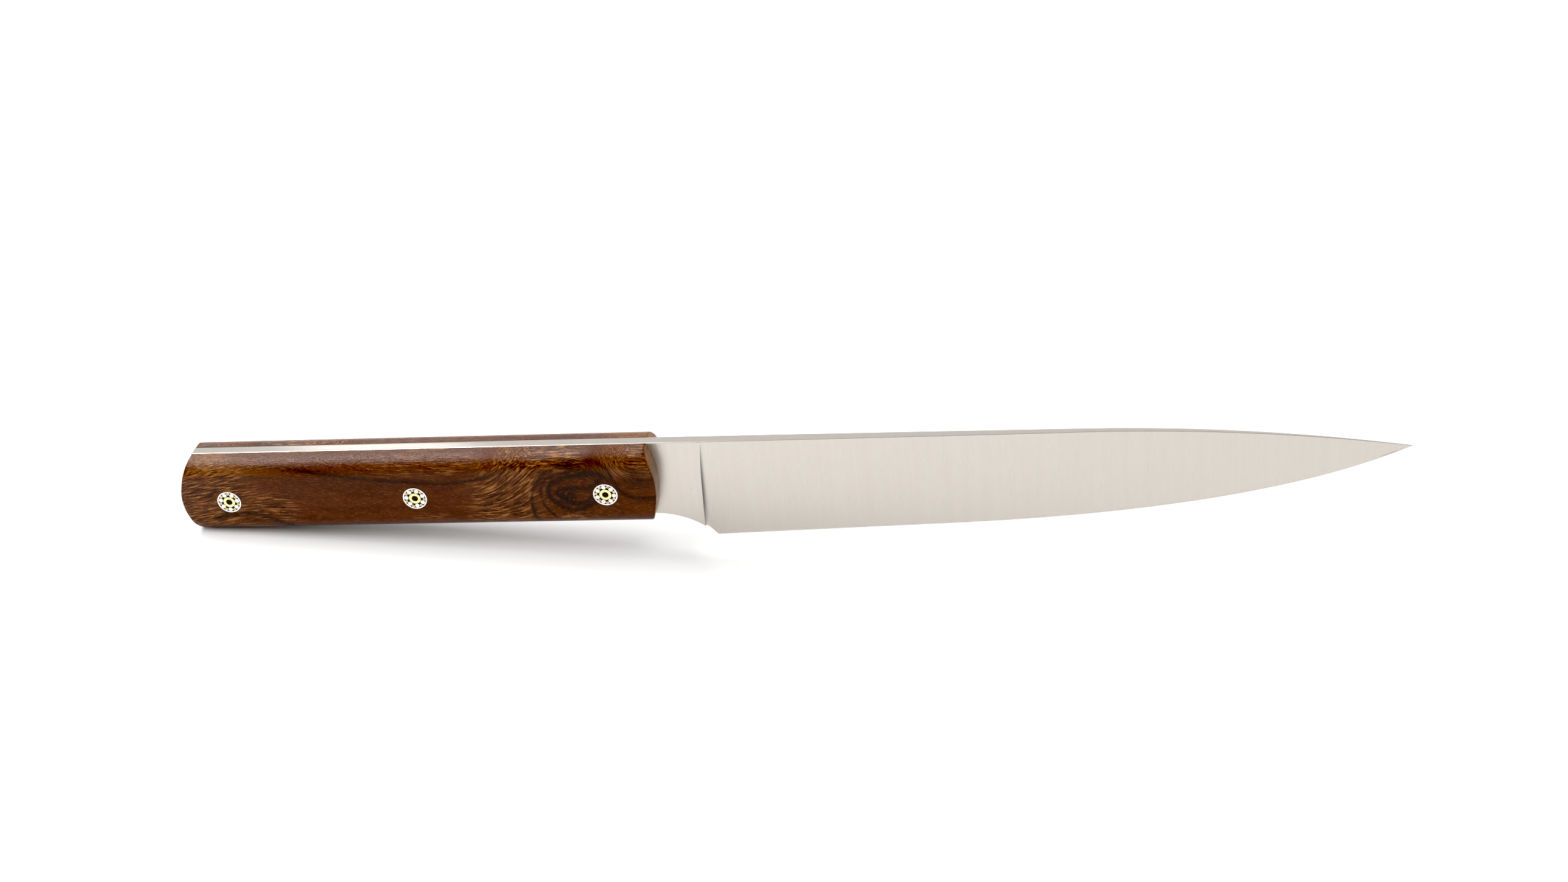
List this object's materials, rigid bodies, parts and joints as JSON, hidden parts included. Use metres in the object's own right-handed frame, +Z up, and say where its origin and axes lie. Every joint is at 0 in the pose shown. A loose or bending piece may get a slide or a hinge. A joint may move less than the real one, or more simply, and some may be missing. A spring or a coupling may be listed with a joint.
{
  "type": "boning knife",
  "caption": "Kitchen knife for boning and slicing: pointed flat-ground steel blade with a full tang between polished wooden handle scales held by round mosaic pins.",
  "frame": {"origin": "centre of the middle handle pin, on the knife's middle plane", "axes": "+X along the spine towards the tip, +Z up towards the spine, so the cutting edge faces down, +Y the knife's left side"},
  "size_m": [0.2974, 0.014, 0.0278],
  "materials": {
    "blade_steel": "satin, fine grind lines from spine to edge",
    "handle_wood": "dense figured reddish-brown hardwood with dark growth bands, polished",
    "handle_glue": "cured dark epoxy",
    "pin_tube_metal": "polished flush",
    "pin_rod_metal": "polished flush",
    "pin_brass": "polished flush",
    "pin_resin": "black casting resin, polished flush"
  },
  "bodies": {
    "root": {"blade": "blade_steel", "right_scale": "handle_wood", "left_scale": "handle_wood", "right_glue_line": "handle_glue", "left_glue_line": "handle_glue", "rear_pin_outer_tube": "pin_tube_metal", "rear_pin_rods": "pin_rod_metal", "rear_pin_small_tubes": "pin_brass", "rear_pin_centre_tube": "pin_brass", "rear_pin_resin": "pin_resin", "rear_pin_glue": "handle_glue", "middle_pin_outer_tube": "pin_tube_metal", "middle_pin_rods": "pin_rod_metal", "middle_pin_small_tubes": "pin_brass", "middle_pin_centre_tube": "pin_brass", "middle_pin_resin": "pin_resin", "middle_pin_glue": "handle_glue", "front_pin_outer_tube": "pin_tube_metal", "front_pin_rods": "pin_rod_metal", "front_pin_small_tubes": "pin_brass", "front_pin_centre_tube": "pin_brass", "front_pin_resin": "pin_resin", "front_pin_glue": "handle_glue"}
  },
  "joints": []
}
